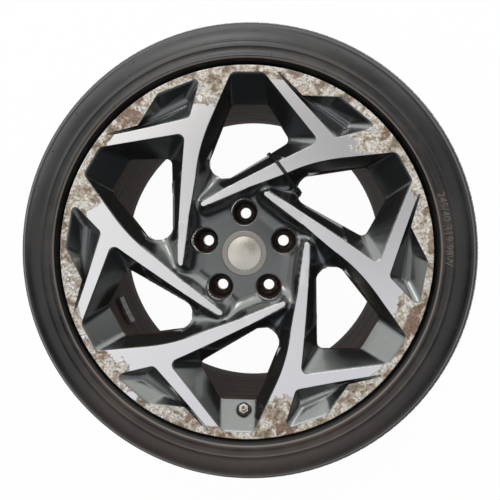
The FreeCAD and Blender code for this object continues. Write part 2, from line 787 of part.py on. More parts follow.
def make_weights():
    """Row of stick-on weights and the foam tape that holds it in the well"""
    row = "((weight_count - 1) * weight_pitch + weight_length)"
    low, high = "weight_z - weight_width / 2", "weight_z + weight_width / 2"

    def segment(label, outer, inner, length):
        body = new_body(label)
        feature = revolve(body, f"{label}_arc", [(inner, low), (outer, low), (outer, high), (inner, high)])
        feature.setExpression("Angle", sheet_terms(f"({length}) / well_in_r * 180 / pi"))
        body.setExpression("Placement.Rotation.Angle",
                           sheet_terms(f"weight_deg - ({row}) / 2 / well_in_r * 180 / pi"))
        return body, feature

    tape, _ = segment("weight_tape", "well_in_r - glue_gap", "tape_in_r", row)
    inner = "tape_in_r - glue_gap - weight_thick"
    weights, block = segment("balance_weights", "tape_in_r - glue_gap", inner, "weight_length")
    weights.AllowCompound = True
    pattern = ring_of(weights, "weight_row", [block], "weight_count")
    pattern.setExpression("Angle", sheet_terms("(weight_count - 1) * weight_pitch / well_in_r * 180 / pi"))
    return [tape, weights]


def make_cable_tie():
    """Nylon strap looped round one spoke through two windows, with its head and tail"""
    corners = []
    for name, (_, level, _) in TIE_LOOP.items():
        corners.append(Vector(value(f"tie_{name}_u * face_share"), 0, value(f"{level} + tie_{name}_z")))
    loop = Part.makePolygon(corners + corners[:1])
    band = loop.makeOffset2D(value("tie_thick"), 0, True)
    strap = band.extrude(Vector(0, value("tie_width"), 0))
    start, end = corners[3], corners[4]
    along = (end - start).normalize()
    out = Vector(-along.z, 0, along.x)
    head_size = value("tie_head")
    thick = value("tie_thick")
    foot = end - along * head_size * 1.5 + out * thick / 2
    outline = [foot, foot + along * head_size, foot + along * head_size + out * head_size * 0.7,
               foot + out * head_size * 0.7]
    overhang = (head_size - value("tie_width")) / 2
    head = Part.Face(Part.makePolygon(outline + outline[:1])).extrude(Vector(0, head_size, 0))
    head.translate(Vector(0, -overhang, 0))
    tie = doc.addObject("Part::Feature", "cable_tie")
    tie.Label = "cable_tie"
    tie.Shape = strap.fuse(head).removeSplitter()
    turn = FreeCAD.Rotation(Vector(0, 0, 1), value("tie_deg"))
    middle = turn.multVec(Vector(0, value("tie_width") / 2, 0))
    spot = Vector(value("tie_x * face_share"), value("tie_y * face_share"), 0)
    tie.Placement = FreeCAD.Placement(spot - middle, turn)
    return tie


def check_document():
    for item in doc.Objects:
        bad = {"Invalid", "Error"} & set(item.State)
        if bad:
            raise RuntimeError(f"{item.Name} failed: {item.State}")


def write_parts(bodies):
    doc.recompute()
    check_document()
    os.makedirs("parts", exist_ok=True)
    for body in bodies:
        shape = body.Shape
        if shape.isNull() or not shape.isValid():
            raise RuntimeError(f"{body.Label} has no valid shape")
        shape.exportStep(f"parts/{body.Label}.step")
        print(f"{body.Label}: {len(shape.Solids)} solid, {shape.Volume / 1000:.1f} cm3")


fill_sheet()
write_parts([make_rim(), make_tyre(), make_centre_cap(), make_cap_dome(), make_spring_ring()]
            + make_valve() + make_sensor() + make_weights() + [make_cable_tie()])
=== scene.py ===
"""Alloy road wheel with a worn tyre: finishes, fine pieces, studio floor and camera"""

import math
import random

import bmesh
import bpy
import numpy as np
from bpy.props import FloatProperty, FloatVectorProperty, IntProperty, PointerProperty, StringProperty
from mathutils import Matrix, Vector
from mathutils.bvhtree import BVHTree
from mathutils.kdtree import KDTree


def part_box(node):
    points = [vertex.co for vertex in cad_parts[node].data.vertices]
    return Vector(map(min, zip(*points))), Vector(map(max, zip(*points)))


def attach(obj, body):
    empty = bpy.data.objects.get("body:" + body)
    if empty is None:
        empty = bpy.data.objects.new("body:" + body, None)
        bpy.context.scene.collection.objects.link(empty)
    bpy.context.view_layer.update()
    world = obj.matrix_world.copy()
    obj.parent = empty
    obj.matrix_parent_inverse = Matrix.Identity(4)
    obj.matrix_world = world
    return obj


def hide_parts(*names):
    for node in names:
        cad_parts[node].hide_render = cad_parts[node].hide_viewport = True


bl_info = {
    "name": "Alloy wheel",
    "version": (1, 0, 0),
    "blender": (4, 5, 0),
    "location": "View3D > Sidebar > Wheel",
    "description": "Finishes and fine pieces of a cast alloy wheel with its tyre",
    "category": "Object",
}

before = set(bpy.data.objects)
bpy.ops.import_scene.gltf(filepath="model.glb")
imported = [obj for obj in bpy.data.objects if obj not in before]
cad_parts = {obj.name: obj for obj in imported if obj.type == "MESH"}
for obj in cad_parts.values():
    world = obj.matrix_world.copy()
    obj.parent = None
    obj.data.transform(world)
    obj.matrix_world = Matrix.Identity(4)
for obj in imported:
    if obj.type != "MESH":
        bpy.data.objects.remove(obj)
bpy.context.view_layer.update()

MM = 0.001
WHEEL = "wheel"
LIP_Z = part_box("alloy_rim")[1][2]
FLANGE_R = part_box("alloy_rim")[1][0]
TYRE_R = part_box("tyre")[1][1]
TYRE_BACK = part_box("tyre")[0][2]
TYRE_MID = (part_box("tyre")[0][2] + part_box("tyre")[1][2]) / 2
FACE_SLOPE = math.tan(math.radians(3.5))
# Bolt holes: radius of their circle, and their bearings
BOLT_CIRCLE = 60.0 * MM
BOLTS = [math.radians(90 + 72 * k) for k in range(5)]
SPOKES = 6
BLADE_LEAN = 22.6

# Half section of the tyre from its bead to the tread's edge: radius, distance from the middle plane, mm
SIDEWALL = [
    (239.9, 87.6), (241.7, 101.0), (243.6, 105.9), (247.0, 107.7), (255.4, 107.95),
    (261.7, 111.3), (261.8, 113.9), (263.6, 116.2), (266.3, 119.8), (267.3, 120.9),
    (268.6, 121.8), (271.4, 122.1), (273.0, 121.8), (274.5, 120.9), (276.4, 120.4),
    (281.0, 120.7), (283.0, 121.1), (283.3, 121.6), (284.3, 121.7), (284.6, 121.3),
    (290.0, 121.9), (296.0, 122.0), (301.5, 121.2), (307.0, 119.4), (311.0, 117.1),
    (311.5, 117.4), (312.5, 116.7), (312.8, 115.8), (315.4, 113.6), (318.2, 110.6),
    (318.9, 110.4), (319.8, 109.2), (319.9, 108.2), (321.8, 105.2), (323.8, 101.2),
    (324.5, 100.5), (325.6, 97.4), (325.9, 96.0), (327.6, 91.4), (329.4, 85.4),
]
# Middles of the three largest flaked patches on the turned face
FLAKED = ((0.234, -0.096, 0.075), (0.054, -0.2475, 0.075), (-0.168, 0.187, 0.075))
# Tread, mm: half width, drop of the crown at its edge, and the grooves by distance from the middle plane
TREAD_HALF = 85.0
CROWN_DROP = 5.0
GROOVES = (55.5, 18.5)
GROOVE_HALF = 4.5
GROOVE_DEPTH = 4.0
# Inside of the casing, in the same terms as the sidewall
LINER = [
    (252.0, 93.0), (268.0, 110.0), (285.0, 113.0), (300.0, 112.0), (312.0, 103.0),
    (318.5, 88.0), (320.5, 40.0),
]


def tint(text):
    """Linear colour of an sRGB hex value"""
    channels = [int(text[i:i + 2], 16) / 255 for i in (0, 2, 4)]
    linear = [c / 12.92 if c <= 0.04045 else ((c + 0.055) / 1.055) ** 2.4 for c in channels]
    return (*linear, 1.0)


class WheelSizes(bpy.types.PropertyGroup):
    """Sizes that a user may change"""
    tread_steps: IntProperty(name="Tread steps", description="Steps round the tyre", default=720, min=120)
    notch_pitch: IntProperty(
        name="Notch pitch", description="Steps from one tread notch to the next", default=5, min=2)
    notch_depth: FloatProperty(
        name="Notch depth", description="Depth of the tread notches", default=0.0022, unit="LENGTH")
    vent_count: IntProperty(
        name="Vent nubs", description="Moulding nubs left on the sidewall", default=46, min=0)
    vent_length: FloatProperty(
        name="Vent length", description="Length of a moulding nub", default=0.0028, unit="LENGTH")
    size_code: StringProperty(
        name="Size code", description="Tyre size on the sidewall", default="245/40 R19 98W")
    code_height: FloatProperty(
        name="Code height", description="Height of the size code's figures", default=0.0142, unit="LENGTH")
    blend_reach: FloatProperty(
        name="Blend reach", description="Width of the curve from hub to spoke", default=0.027, unit="LENGTH")
    corner_radius: FloatProperty(
        name="Corner radius", description="Rounding of the windows at the hub", default=0.021, unit="LENGTH")
    tip_radius: FloatProperty(
        name="Tip radius", description="Rounding of the strips' inner ends", default=0.003, unit="LENGTH")
    lens: FloatProperty(name="Lens", description="Focal length on a 36 mm sensor", default=32.84)


class WheelColours(bpy.types.PropertyGroup):
    """Colours that a user may change, as linear values"""
    paint: FloatVectorProperty(
        name="Paint", description="Dark grey lacquer", subtype="COLOR", size=4, default=tint("5E605F"))
    turned: FloatVectorProperty(
        name="Turned face", description="Turned aluminium", subtype="COLOR", size=4, default=tint("E6E3E2"))
    rubber: FloatVectorProperty(
        name="Rubber", description="Tyre rubber", subtype="COLOR", size=4, default=tint("100F0F"))


def fill(tree, node, inputs):
    """Set a node's inputs, each from a value or from another node's output"""
    for key, source in inputs.items():
        if isinstance(source, bpy.types.NodeSocket):
            tree.links.new(source, node.inputs[key])
        else:
            node.inputs[key].default_value = source


def add(tree, kind, inputs=None, stops=(), **settings):
    """Add a node with its settings and inputs; a ramp's stop is a place and an sRGB hex colour"""
    made = tree.nodes.new("ShaderNode" + kind)
    for name, setting in settings.items():
        setattr(made, name, setting)
    for _ in stops[2:]:
        made.color_ramp.elements.new(0.5)
    for number, (place, colour) in enumerate(stops):
        made.color_ramp.elements[number].position = place
        made.color_ramp.elements[number].color = tint(colour)
    fill(tree, made, inputs or {})
    return made


def start_material(name):
    """Empty material with its tree, shader and object coordinates"""
    made = bpy.data.materials.new(name)
    made.use_nodes = True
    tree = made.node_tree
    tree.nodes.clear()
    shader = add(tree, "BsdfPrincipled")
    add(tree, "OutputMaterial", {"Surface": shader.outputs[0]})
    place = add(tree, "TexCoord").outputs["Object"]
    return made, tree, shader, place


def polar(tree, place):
    """Radius from the wheel axis, bearing and height of a point"""
    axes = add(tree, "SeparateXYZ", {0: place})
    flat = add(tree, "CombineXYZ", {0: axes.outputs[0], 1: axes.outputs[1]})
    radius = add(tree, "VectorMath", {0: flat.outputs[0]}, operation="LENGTH").outputs["Value"]
    bearing = add(tree, "Math", {0: axes.outputs[1], 1: axes.outputs[0]}, operation="ARCTAN2").outputs[0]
    return radius, bearing, axes.outputs[2]


def turned_aluminium(colours):
    """Diamond-turned cast aluminium under lacquer.

    Bright metal with fine turning rings; corrosion creeps in under the lacquer from the rim's edge and
    leaves a mottled grey and beige skin with a brown edge, and brown patches where it has flaked off.
    """
    made, tree, shader, place = start_material("diamond_turned_aluminium")
    radius, bearing, _ = polar(tree, place)

    # One spoke's share of the circle, so that the thin strip beside each pocket stays bright
    folded = add(tree, "Math", {0: bearing, 1: math.radians(148), 2: math.radians(88)}, operation="WRAP")
    turn = add(tree, "Math", {0: folded.outputs[0], 1: math.radians(100.8)}, operation="SUBTRACT")
    lean = add(tree, "Math", {0: turn.outputs[0]}, operation="COSINE")
    across = add(tree, "Math", {0: radius, 1: lean.outputs[0]}, operation="MULTIPLY").outputs[0]
    off_strip = add(tree, "MapRange", {
        "Value": across, "From Min": 0.1960, "From Max": 0.1990}, interpolation_type="SMOOTHSTEP").outputs[0]
    at_lip = add(tree, "MapRange", {
        "Value": radius, "From Min": 0.238, "From Max": 0.249}, interpolation_type="SMOOTHSTEP").outputs[0]
    open_to = add(tree, "Math", {0: off_strip, 1: at_lip}, operation="MAXIMUM").outputs[0]
    outer = add(tree, "MapRange", {"Value": radius, "From Min": 0.194, "From Max": 0.243}).outputs[0]
    zone = add(tree, "Math", {0: outer, 1: open_to}, operation="MULTIPLY").outputs[0]

    # The lower left arms are the cleanest
    toward = add(tree, "VectorMath", {
        0: place, 1: (-2.9, -2.5, 0.0)}, operation="DOT_PRODUCT").outputs["Value"]
    shelter = add(tree, "MapRange", {
        "Value": toward, "From Min": 0.45, "From Max": 0.95, "To Max": 0.42},
        interpolation_type="SMOOTHSTEP").outputs[0]

    # Patches about 40 mm across with ragged edges of 3 to 8 mm decide where the skin has lifted
    patch = add(tree, "TexNoise", {
        "Vector": place, "Scale": 27.0, "Detail": 3.0, "Roughness": 0.55}).outputs["Fac"]
    ragged = add(tree, "TexNoise", {
        "Vector": place, "Scale": 140.0, "Detail": 8.0, "Roughness": 0.72}).outputs["Fac"]
    spread = add(tree, "Math", {0: patch, 1: 1.5, 2: -0.75}, operation="MULTIPLY_ADD").outputs[0]
    edge = add(tree, "Math", {0: ragged, 1: 0.8, 2: -0.4}, operation="MULTIPLY_ADD").outputs[0]
    reach = add(tree, "Math", {0: spread, 1: edge}, operation="ADD").outputs[0]
    level = add(tree, "Math", {0: zone, 1: reach}, operation="ADD").outputs[0]
    attack = add(tree, "Math", {0: level, 1: shelter}, operation="SUBTRACT").outputs[0]
    skin = add(tree, "MapRange", {
        "Value": attack, "From Min": 0.42, "From Max": 0.46}, interpolation_type="SMOOTHSTEP").outputs[0]
    deep = add(tree, "MapRange", {
        "Value": attack, "From Min": 0.42, "From Max": 0.56}, interpolation_type="SMOOTHSTEP").outputs[0]

    # Skin: broad drift from grey to beige, with 1 to 4 mm mottling over it
    drift = add(tree, "TexNoise", {
        "Vector": place, "Scale": 62.0, "Detail": 5.0, "Roughness": 0.6, "Distortion": 0.5}).outputs["Fac"]
    broad = add(tree, "ValToRGB", {0: drift}, stops=(
        (0.38, "87786A"), (0.45, "AFA291"), (0.5, "CBC3B6"), (0.55, "E4E1DB"), (0.63, "BDBCBA"))).outputs[0]
    mottle = add(tree, "TexNoise", {
        "Vector": place, "Scale": 290.0, "Detail": 6.0, "Roughness": 0.78}).outputs["Fac"]
    specks = add(tree, "ValToRGB", {0: mottle}, stops=(
        (0.36, "887D72"), (0.44, "C9C1B7"), (0.51, "F4F1EC"), (0.6, "FFFFFF"))).outputs[0]
    pale = add(tree, "Mix", {
        "Factor": 1.0, "A": broad, "B": specks}, data_type="RGBA", blend_type="MULTIPLY").outputs["Result"]
    rim_line = add(tree, "Mix", {
        "Factor": deep, "A": tint("8A7767"), "B": pale}, data_type="RGBA").outputs["Result"]

    # Brown patches where the skin has flaked off: three large ones and some small ones
    bared = add(tree, "TexNoise", {
        "Vector": place, "Scale": 34.0, "Detail": 7.0, "Roughness": 0.62, "Distortion": 0.4}).outputs["Fac"]
    most = add(tree, "MapRange", {
        "Value": bared, "From Min": 0.3, "From Max": 0.7, "To Min": -0.5, "To Max": 0.5}).outputs[0]
    for spot in FLAKED:
        away = add(tree, "VectorMath", {0: place, 1: spot}, operation="DISTANCE").outputs["Value"]
        near = add(tree, "MapRange", {
            "Value": away, "From Min": 0.034, "From Max": 0.012, "To Max": 0.3}).outputs[0]
        most = add(tree, "Math", {0: most, 1: near}, operation="ADD").outputs[0]
    flake = add(tree, "MapRange", {"Value": most, "From Min": 0.27, "From Max": 0.31}).outputs[0]
    at_edge = add(tree, "MapRange", {
        "Value": radius, "From Min": 0.236, "From Max": 0.243}, interpolation_type="SMOOTHSTEP").outputs[0]
    flaked = add(tree, "Math", {0: flake, 1: at_edge}, operation="MULTIPLY").outputs[0]
    brown = add(tree, "ValToRGB", {0: mottle}, stops=(
        (0.3, "4B3A31"), (0.5, "7B6150"), (0.7, "A18875"))).outputs[0]
    worn = add(tree, "Mix", {
        "Factor": flaked, "A": rim_line, "B": brown}, data_type="RGBA").outputs["Result"]
    colour = add(tree, "Mix", {
        "Factor": skin, "A": tuple(colours.turned), "B": worn}, data_type="RGBA").outputs["Result"]

    # Turning rings, drawn 0.9 mm apart because the real feed of 0.2 mm is too fine to show
    rings = add(tree, "Math", {0: radius, 1: 2 * math.pi / 0.0009}, operation="MULTIPLY").outputs[0]
    wave = add(tree, "Math", {0: rings}, operation="SINE").outputs[0]
    shine = add(tree, "Math", {0: wave, 1: 0.03, 2: 0.27}, operation="MULTIPLY_ADD").outputs[0]
    rough = add(tree, "Mix", {"Factor": skin, "A": shine, "B": 0.6}).outputs["Result"]
    metal = add(tree, "MapRange", {"Value": skin, "To Min": 1.0, "To Max": 0.25}).outputs[0]
    lift = add(tree, "Math", {0: mottle, 1: skin}, operation="MULTIPLY").outputs[0]
    rounded = add(tree, "Bevel", {"Radius": 0.0007}, samples=4).outputs[0]
    bump = add(tree, "Bump", {
        "Strength": 0.45, "Distance": 0.0004, "Height": lift, "Normal": rounded}).outputs[0]
    tangent = add(tree, "Tangent", direction_type="RADIAL", axis="Z").outputs[0]
    fill(tree, shader, {
        "Base Color": colour, "Roughness": rough, "Metallic": metal, "Normal": bump, "Tangent": tangent,
        "Anisotropic": 0.3, "Coat Weight": 0.2, "Coat Roughness": 0.12})
    return made


def grey_lacquer(colours):
    """Dark grey metallic lacquer over cast aluminium: deep and glossy, with dust in the hollows, stone chips
    and light scratches"""
    made, tree, shader, place = start_material("grey_metallic_lacquer")
    _, _, height = polar(tree, place)
    cloud = add(tree, "TexNoise", {
        "Vector": place, "Scale": 24.0, "Detail": 5.0, "Roughness": 0.6}).outputs["Fac"]
    deep = add(tree, "MapRange", {
        "Value": height, "From Min": 0.066, "From Max": 0.04}, interpolation_type="SMOOTHSTEP").outputs[0]
    dusty = add(tree, "Math", {0: deep, 1: cloud}, operation="MULTIPLY").outputs[0]
    film = add(tree, "MapRange", {
        "Value": dusty, "From Min": 0.4, "From Max": 0.75, "To Max": 0.35}).outputs[0]
    # Aluminium flake in the lacquer, drawn at 0.7 mm so that it shows
    sparkle = add(tree, "TexNoise", {"Vector": place, "Scale": 1400.0, "Detail": 1.0}).outputs["Fac"]
    lift = add(tree, "MapRange", {
        "Value": sparkle, "From Min": 0.45, "From Max": 0.7, "To Max": 0.25}).outputs[0]
    flecked = add(tree, "Mix", {
        "Factor": lift, "A": tuple(colours.paint), "B": tint("8B8D8B")}, data_type="RGBA").outputs["Result"]
    dirty = add(tree, "Mix", {
        "Factor": film, "A": flecked, "B": tint("57524B")}, data_type="RGBA").outputs["Result"]
    # Stone chips 1 to 2 mm wide, some 30 mm apart
    cells = add(tree, "TexVoronoi", {"Vector": place, "Scale": 34.0})
    chip = add(tree, "MapRange", {
        "Value": cells.outputs["Distance"], "From Min": 0.04, "From Max": 0.027}).outputs[0]
    pick = add(tree, "SeparateColor", {0: cells.outputs["Color"]}).outputs[0]
    some = add(tree, "Math", {0: pick, 1: 0.6}, operation="GREATER_THAN").outputs[0]
    chipped = add(tree, "Math", {0: chip, 1: some}, operation="MULTIPLY").outputs[0]
    # Hairline scratches: thin bands of a stretched noise, in scattered places
    drawn = add(tree, "Mapping", {
        "Vector": place, "Rotation": (0.0, 0.0, 0.7), "Scale": (24.0, 110.0, 60.0)}).outputs[0]
    strand = add(tree, "TexNoise", {"Vector": drawn, "Scale": 1.0, "Detail": 1.0}).outputs["Fac"]
    off = add(tree, "Math", {0: strand, 1: 0.5}, operation="SUBTRACT").outputs[0]
    thin = add(tree, "Math", {0: off}, operation="ABSOLUTE").outputs[0]
    line = add(tree, "MapRange", {"Value": thin, "From Min": 0.0045, "From Max": 0.002}).outputs[0]
    where = add(tree, "MapRange", {
        "Value": cloud, "From Min": 0.57, "From Max": 0.62, "To Max": 0.6}).outputs[0]
    scratch = add(tree, "Math", {0: line, 1: where}, operation="MULTIPLY").outputs[0]
    marks = add(tree, "Math", {0: chipped, 1: scratch}, operation="MAXIMUM").outputs[0]
    colour = add(tree, "Mix", {
        "Factor": marks, "A": dirty, "B": tint("A9A59D")}, data_type="RGBA").outputs["Result"]
    rough = add(tree, "MapRange", {
        "Value": film, "From Max": 0.35, "To Min": 0.2, "To Max": 0.34}).outputs[0]
    # Edges are soft under the turned face and crisp at the back of the windows
    turned_in = add(tree, "Bevel", {"Radius": 0.006}, samples=8).outputs[0]
    plain = add(tree, "NewGeometry").outputs["Normal"]
    upper = add(tree, "MapRange", {"Value": height, "From Min": 0.044, "From Max": 0.049}).outputs[0]
    rounded = add(tree, "Mix", {
        "Factor": upper, "A": plain, "B": turned_in}, data_type="VECTOR").outputs["Result"]
    peel = add(tree, "TexNoise", {"Vector": place, "Scale": 420.0, "Detail": 2.0}).outputs["Fac"]
    bump = add(tree, "Bump", {
        "Strength": 0.05, "Distance": 0.0003, "Height": peel, "Normal": rounded}).outputs[0]
    fill(tree, shader, {
        "Base Color": colour, "Roughness": rough, "Normal": bump, "Coat Normal": rounded,
        "Metallic": 0.92, "Coat Weight": 1.0, "Coat Roughness": 0.06})
    return made


def dusty_casting():
    """Cast aluminium inside the barrel, brown with baked brake dust that lies in rings"""
    made, tree, shader, place = start_material("brake_dusted_casting")
    stretched = add(tree, "Mapping", {"Vector": place, "Scale": (9.0, 9.0, 150.0)}).outputs[0]
    rings = add(tree, "TexNoise", {
        "Vector": stretched, "Scale": 1.0, "Detail": 6.0, "Roughness": 0.65}).outputs["Fac"]
    colour = add(tree, "ValToRGB", {0: rings}, stops=(
        (0.32, "0D0806"), (0.48, "241710"), (0.6, "402F25"), (0.74, "6A574A"))).outputs[0]
    grain = add(tree, "TexNoise", {"Vector": place, "Scale": 500.0, "Detail": 4.0}).outputs["Fac"]
    rough = add(tree, "MapRange", {"Value": grain, "To Min": 0.5, "To Max": 0.85}).outputs[0]
    bump = add(tree, "Bump", {"Strength": 0.35, "Distance": 0.0004, "Height": grain}).outputs[0]
    fill(tree, shader, {
        "Base Color": colour, "Roughness": rough, "Normal": bump, "Specular IOR Level": 0.12})
    return made


def bare_seat():
    """Machined aluminium of the bolt seats, stained brown by rust from the bolts"""
    made, tree, shader, place = start_material("stained_machined_seat")
    stain = add(tree, "TexNoise", {
        "Vector": place, "Scale": 160.0, "Detail": 5.0, "Roughness": 0.65}).outputs["Fac"]
    colour = add(tree, "ValToRGB", {0: stain}, stops=(
        (0.3, "241D19"), (0.5, "5A4F46"), (0.68, "93897D"))).outputs[0]
    rough = add(tree, "MapRange", {"Value": stain, "To Min": 0.28, "To Max": 0.55}).outputs[0]
    rounded = add(tree, "Bevel", {"Radius": 0.0006}, samples=4).outputs[0]
    fill(tree, shader, {"Base Color": colour, "Roughness": rough, "Normal": rounded, "Metallic": 0.85})
    return made


def tyre_rubber(colours):
    """Weathered black tyre rubber: grey bloom, brown road dust near the rib, moulded rings and fine grain"""
    made, tree, shader, place = start_material("weathered_tyre_rubber")
    radius, _, _ = polar(tree, place)
    cloud = add(tree, "TexNoise", {
        "Vector": place, "Scale": 11.0, "Detail": 7.0, "Roughness": 0.62}).outputs["Fac"]
    bloom = add(tree, "MapRange", {
        "Value": cloud, "From Min": 0.42, "From Max": 0.7, "To Max": 0.6}).outputs[0]
    grey = add(tree, "Mix", {
        "Factor": bloom, "A": tuple(colours.rubber), "B": tint("2B2A29")}, data_type="RGBA").outputs["Result"]
    near_rib = add(tree, "MapRange", {
        "Value": radius, "From Min": 0.304, "From Max": 0.272}, interpolation_type="SMOOTHSTEP").outputs[0]
    patchy = add(tree, "TexNoise", {
        "Vector": place, "Scale": 8.0, "Detail": 6.0, "Roughness": 0.7}).outputs["Fac"]
    dust = add(tree, "MapRange", {
        "Value": patchy, "From Min": 0.44, "From Max": 0.68, "To Max": 0.65}).outputs[0]
    clinging = add(tree, "Math", {0: dust, 1: near_rib}, operation="MULTIPLY").outputs[0]
    # The lower half is lighter and browner towards the bottom
    upright = add(tree, "SeparateXYZ", {0: place}).outputs[1]
    browner_below = add(tree, "MapRange", {
        "Value": upright, "From Min": -0.1, "From Max": -0.32, "To Max": 0.5},
        interpolation_type="SMOOTHSTEP").outputs[0]
    film = add(tree, "Math", {0: clinging, 1: browner_below}, operation="ADD").outputs[0]
    dirty = add(tree, "Mix", {
        "Factor": film, "A": grey, "B": tint("4A4038")}, data_type="RGBA").outputs["Result"]
    # Thin pale line of dust along the inner edge of the rib
    off_line = add(tree, "Math", {0: radius, 1: 0.2686}, operation="SUBTRACT").outputs[0]
    away = add(tree, "Math", {0: off_line}, operation="ABSOLUTE").outputs[0]
    line = add(tree, "MapRange", {
        "Value": away, "From Min": 0.0013, "From Max": 0.0005, "To Max": 0.75}).outputs[0]
    edged = add(tree, "Mix", {
        "Factor": line, "A": dirty, "B": tint("77685C")}, data_type="RGBA").outputs["Result"]
    # The hollow beside the rim flange is painted near black: painted shade in the gap between flange and rib
    gap_shade = add(tree, "MapRange", {"Value": radius, "From Min": 0.2676, "From Max": 0.267}).outputs[0]
    front = add(tree, "Mix", {
        "Factor": gap_shade, "A": edged, "B": tint("060505")}, data_type="RGBA").outputs["Result"]
    grain = add(tree, "TexNoise", {
        "Vector": place, "Scale": 900.0, "Detail": 3.0, "Roughness": 0.6}).outputs["Fac"]
    # Moulded rings 2.2 mm apart
    turns = add(tree, "Math", {0: radius, 1: 2 * math.pi / 0.0022}, operation="MULTIPLY").outputs[0]
    wave = add(tree, "Math", {0: turns}, operation="SINE").outputs[0]
    ribbed = add(tree, "Math", {0: wave, 1: 0.22, 2: grain}, operation="MULTIPLY_ADD").outputs[0]
    # The wall is slightly wavy, some 30 mm from crest to crest
    sway = add(tree, "TexNoise", {"Vector": place, "Scale": 34.0, "Detail": 2.0}).outputs["Fac"]
    relief = add(tree, "Math", {0: sway, 1: 5.0, 2: ribbed}, operation="MULTIPLY_ADD").outputs[0]
    dull = add(tree, "Math", {0: film, 1: 0.3}, operation="MULTIPLY").outputs[0]
    gloss = add(tree, "MapRange", {"Value": cloud, "To Min": 0.16, "To Max": 0.48}).outputs[0]
    rough = add(tree, "Math", {0: gloss, 1: dull}, operation="ADD").outputs[0]
    bump = add(tree, "Bump", {"Strength": 0.3, "Distance": 0.0003, "Height": relief}).outputs[0]
    fill(tree, shader, {"Base Color": front, "Roughness": rough, "Normal": bump})
    return made


def speckled(name, low, high, metallic, roughness, scale, bevel=0.0003):
    """Plain finish with a fine two-colour speckle, an uneven gloss and softened edges"""
    made, tree, shader, place = start_material(name)
    speckle = add(tree, "TexNoise", {
        "Vector": place, "Scale": scale, "Detail": 4.0, "Roughness": 0.6}).outputs["Fac"]
    colour = add(tree, "ValToRGB", {0: speckle}, stops=((0.34, low), (0.66, high))).outputs[0]
    rough = add(tree, "MapRange", {
        "Value": speckle, "To Min": roughness * 0.75, "To Max": roughness * 1.3}).outputs[0]
    rounded = add(tree, "Bevel", {"Radius": bevel}, samples=4).outputs[0]
    bump = add(tree, "Bump", {
        "Strength": 0.12, "Distance": 0.0002, "Height": speckle, "Normal": rounded}).outputs[0]
    fill(tree, shader, {"Base Color": colour, "Roughness": rough, "Normal": bump, "Metallic": metallic})
    return made


def wear(obj, *materials):
    """Give an object these materials in place of its own"""
    obj.data.materials.clear()
    for material in materials:
        obj.data.materials.append(material)


def put(name, data):
    """Place a mesh, lamp or camera in the scene"""
    made = bpy.data.objects.new(name, data)
    bpy.context.scene.collection.objects.link(made)
    return made


def solid(name, shape, *materials):
    """Place a bmesh in the scene with its materials"""
    mesh = bpy.data.meshes.new(name)
    shape.to_mesh(mesh)
    shape.free()
    made = put(name, mesh)
    wear(made, *materials)
    return made


def new_piece(name, shape, slot, *materials):
    """Finish a bmesh as a piece that rides on the wheel"""
    piece = solid(name, shape, *materials)
    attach(piece, WHEEL)
    return piece


def spun(section, steps):
    """Closed section of (radius, height) turned once about the Z axis"""
    shape = bmesh.new()
    rings = []
    for step in range(steps):
        across = math.cos(2 * math.pi * step / steps) * MM
        along = math.sin(2 * math.pi * step / steps) * MM
        ring = [(radius * across, radius * along, height * MM) for radius, height in section]
        rings.append([shape.verts.new(spot) for spot in ring])
    for ring, after in zip(rings, rings[1:] + rings[:1]):
        for k in range(len(section)):
            shape.faces.new((ring[k - 1], ring[k], after[k], after[k - 1])).smooth = True
    shape.normal_update()
    return shape


def sidewall_height(radius):
    """Height of the tyre's front sidewall at a radius, in metres"""
    for (low, low_u), (high, high_u) in zip(SIDEWALL, SIDEWALL[1:]):
        if low <= radius / MM <= high:
            share = (radius / MM - low) / (high - low)
            return TYRE_MID + (low_u + share * (high_u - low_u)) * MM
    raise ValueError("no sidewall at this radius")


class WHEEL_OT_rim(bpy.types.Operator):
    """Paint, turn and weather the cast rim"""
    bl_idname = "wheel.rim"
    bl_label = "Rim finishes"

    # The turned face starts outside the hub and takes in the rounded edge of the lip
    HUB_R = 0.07
    FACE_BAND = 0.15 * MM
    LIP_EDGE = 4 * MM
    # Brake dust lies behind this level, on the spokes' backs and the barrel
    BACK_Z = 0.0388
    PAD_R = 0.075
    BARREL_R = 0.2
    # Thin edge of the window holes
    HOLE_R = 0.13
    HOLE_Z = (0.03, 0.0432)
    # Bolt pockets, and the cone seat at the bottom of each
    POCKET_R = 18.2 * MM
    POCKET_Z = 41.0 * MM
    SEAT_R = 13.5 * MM
    SEAT_Z = 16.5 * MM

    def execute(self, context):
        colours = context.scene.wheel_colours
        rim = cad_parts["alloy_rim"]
        wear(rim, grey_lacquer(colours), turned_aluminium(colours), dusty_casting(), bare_seat())
        for face in rim.data.polygons:
            face.material_index = self.finish_at(face.center, face.normal)
        return {"FINISHED"}

    def finish_at(self, centre, normal):
        """Slot for one facet: 0 lacquer, 1 turned, 2 dusty casting, 3 bolt seat"""
        radius = math.hypot(centre.x, centre.y)
        depth = LIP_Z - (FLANGE_R - radius) * FACE_SLOPE - centre.z
        level = normal.z > 0.9
        if radius > self.HUB_R and abs(depth) < self.FACE_BAND and level:
            return 1
        if radius > FLANGE_R - self.LIP_EDGE and depth < self.LIP_EDGE:
            return 1
        inward = -(normal.x * centre.x + normal.y * centre.y) / radius
        behind = normal.z < 0.2 and radius > self.PAD_R
        barrel = inward > 0.3 and radius > self.BARREL_R
        if centre.z < self.BACK_Z and (behind or barrel):
            return 2
        low, high = self.HOLE_Z
        if radius > self.HOLE_R and low < centre.z < high and (level or normal.z < 0.35):
            return 2
        for bearing in BOLTS:
            side = centre.x - BOLT_CIRCLE * math.cos(bearing)
            rise = centre.y - BOLT_CIRCLE * math.sin(bearing)
            away = math.hypot(side, rise)
            if away < self.POCKET_R and centre.z < self.POCKET_Z:
                return 3 if away < self.SEAT_R and centre.z < self.SEAT_Z else 2
        return 0


